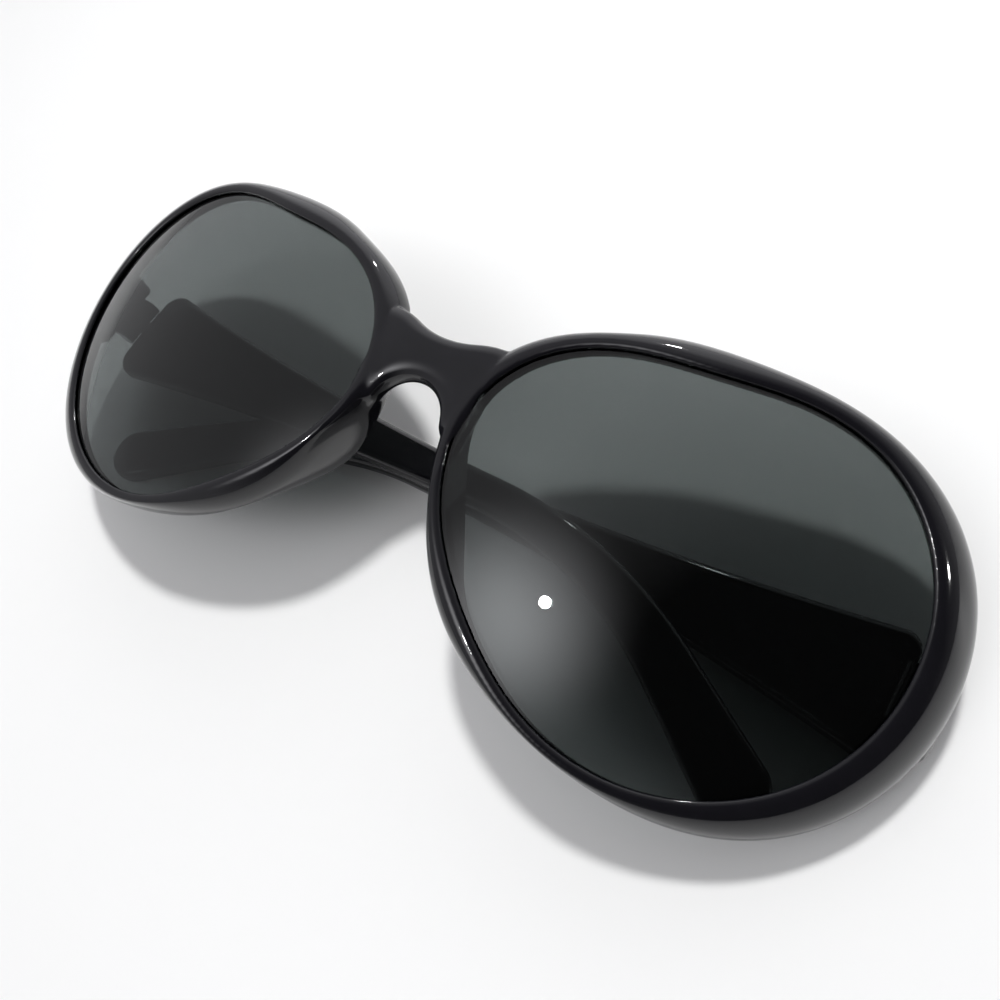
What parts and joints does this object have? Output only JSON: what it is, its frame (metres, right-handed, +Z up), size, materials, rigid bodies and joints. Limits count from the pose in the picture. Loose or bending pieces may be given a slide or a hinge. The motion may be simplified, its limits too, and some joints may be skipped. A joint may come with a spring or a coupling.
{
  "type": "sunglasses",
  "caption": "Folded oversized oval sunglasses: gloss one-piece front with moulded nose pads, smoke lenses, moulded screw hinges and wide temples that slim down to drooped ear tips.",
  "frame": {"origin": "middle of the bounding box, on the surface that the folded sunglasses lie on", "axes": "+X from the wearer's right hinge to the left hinge, +Y from the lower rims to the brow, +Z up out of the surface and out through the lens fronts"},
  "size_m": [0.1442, 0.0532, 0.0309],
  "materials": {
    "frame_plastic": "polished",
    "lens_smoke": "clear smoke",
    "screw_metal": "bright"
  },
  "bodies": {
    "front": {"front_frame": "frame_plastic", "lens_right": "lens_smoke", "lens_left": "lens_smoke", "front_leaf_right": "frame_plastic", "front_leaf_left": "frame_plastic", "hinge_screw_right": "screw_metal", "hinge_screw_left": "screw_metal"},
    "temple_arm_right": {"temple_right": "frame_plastic", "temple_leaf_right": "frame_plastic"},
    "temple_arm_left": {"temple_left": "frame_plastic", "temple_leaf_left": "frame_plastic"}
  },
  "joints": [
    {"name": "temple_right_fold", "type": "hinge", "parent": "front", "child": "temple_arm_right", "pos_m": [-0.06688, 0.00224, 0.00885], "axis": [0, 1, 0], "range_deg": [0, 91.56]},
    {"name": "temple_left_fold", "type": "hinge", "parent": "front", "child": "temple_arm_left", "pos_m": [0.06675, 0.00224, 0.0052], "axis": [0, -1, 0], "range_deg": [0, 88.44]}
  ]
}
